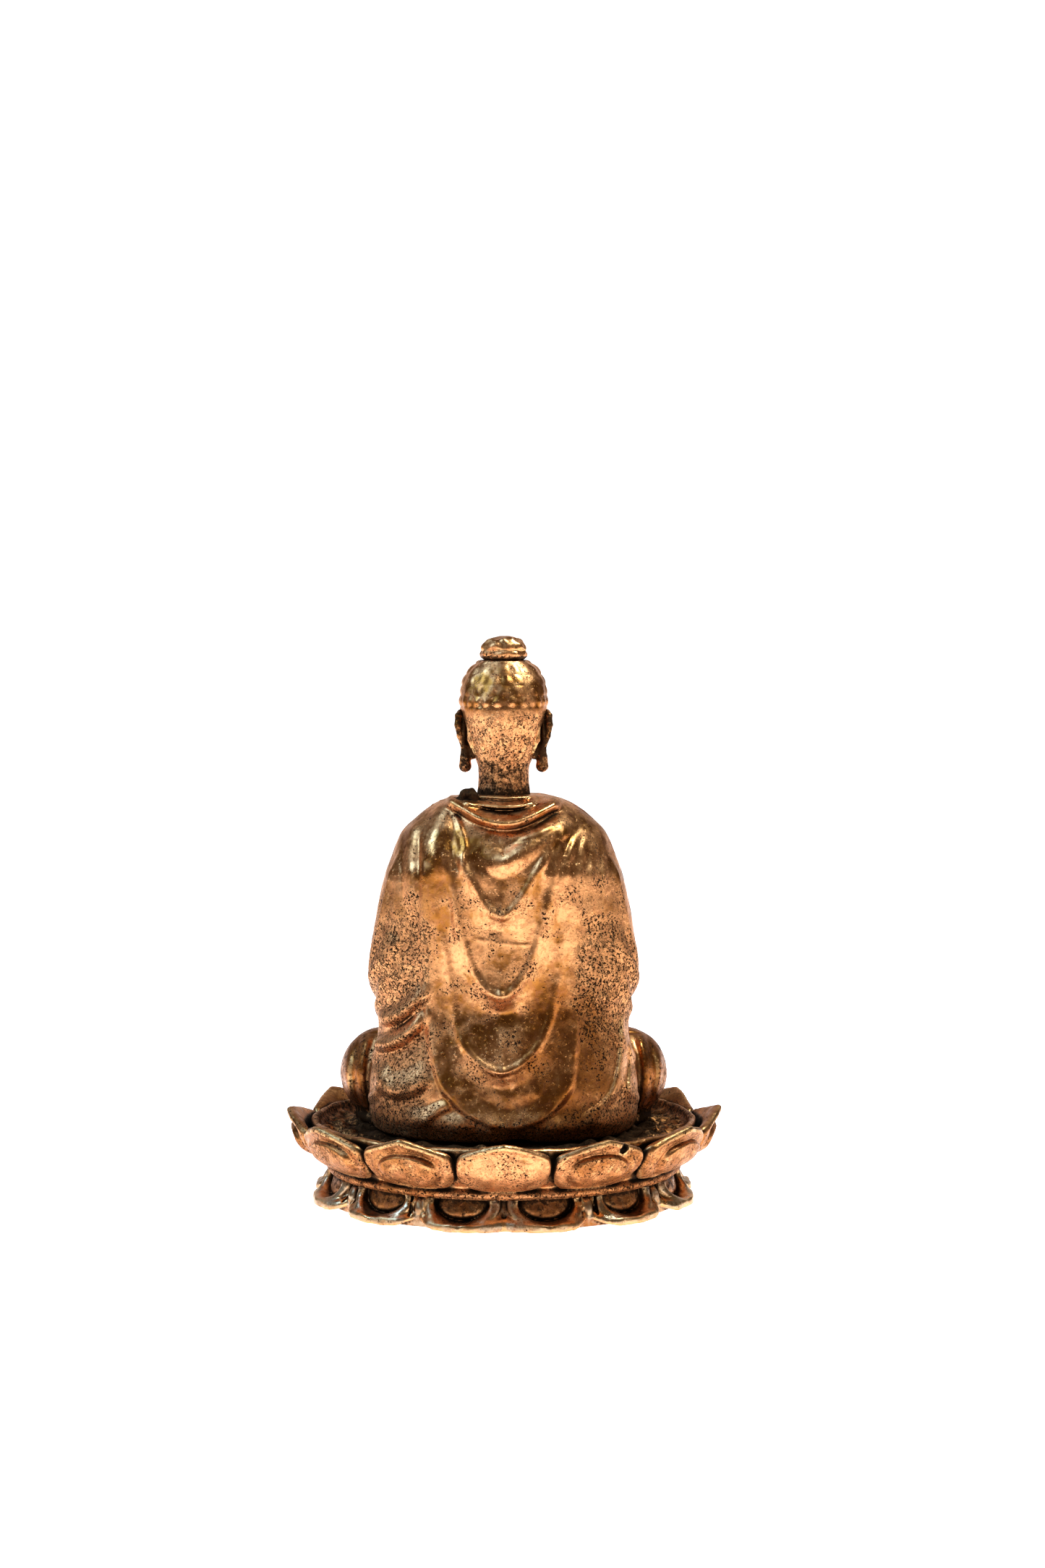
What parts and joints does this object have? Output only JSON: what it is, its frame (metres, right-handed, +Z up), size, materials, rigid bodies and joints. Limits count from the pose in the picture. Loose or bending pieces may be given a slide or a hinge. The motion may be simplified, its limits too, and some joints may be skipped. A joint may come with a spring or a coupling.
{
  "type": "seated buddha statue on a double lotus pedestal",
  "caption": "Small cast metal statue of a robed figure in seated meditation, pinned together from hollow castings on a round double lotus pedestal.",
  "frame": {"origin": "centre of the foot's round outline, on the surface that the statue stands on", "axes": "+Z up, the figure faces -Y, the figure's left hand is on +X"},
  "size_m": [0.078, 0.078, 0.1],
  "materials": {
    "copper_casting": "antiqued copper gold, pitted",
    "bronze_plate": "dull sheet",
    "pin_wire": "drawn wire, uncoated",
    "zinc_steel": "zinc plated"
  },
  "bodies": {
    "root": {"lotus_foot": "copper_casting", "base_plate": "bronze_plate", "plate_screws": "zinc_steel", "tier_pins": "pin_wire", "lotus_dish": "copper_casting", "seat_dowels": "pin_wire", "tie_stud": "zinc_steel", "tie_washer": "zinc_steel", "tie_nut": "zinc_steel", "leg_casting": "copper_casting", "robe_back": "copper_casting", "robe_front": "copper_casting", "shell_pins": "pin_wire", "leg_pins": "pin_wire", "lap_pins": "pin_wire", "hand_left": "copper_casting", "hand_right": "copper_casting", "head": "copper_casting", "neck_pin": "pin_wire", "ear_left": "copper_casting", "ear_right": "copper_casting", "topknot": "copper_casting"}
  },
  "joints": []
}
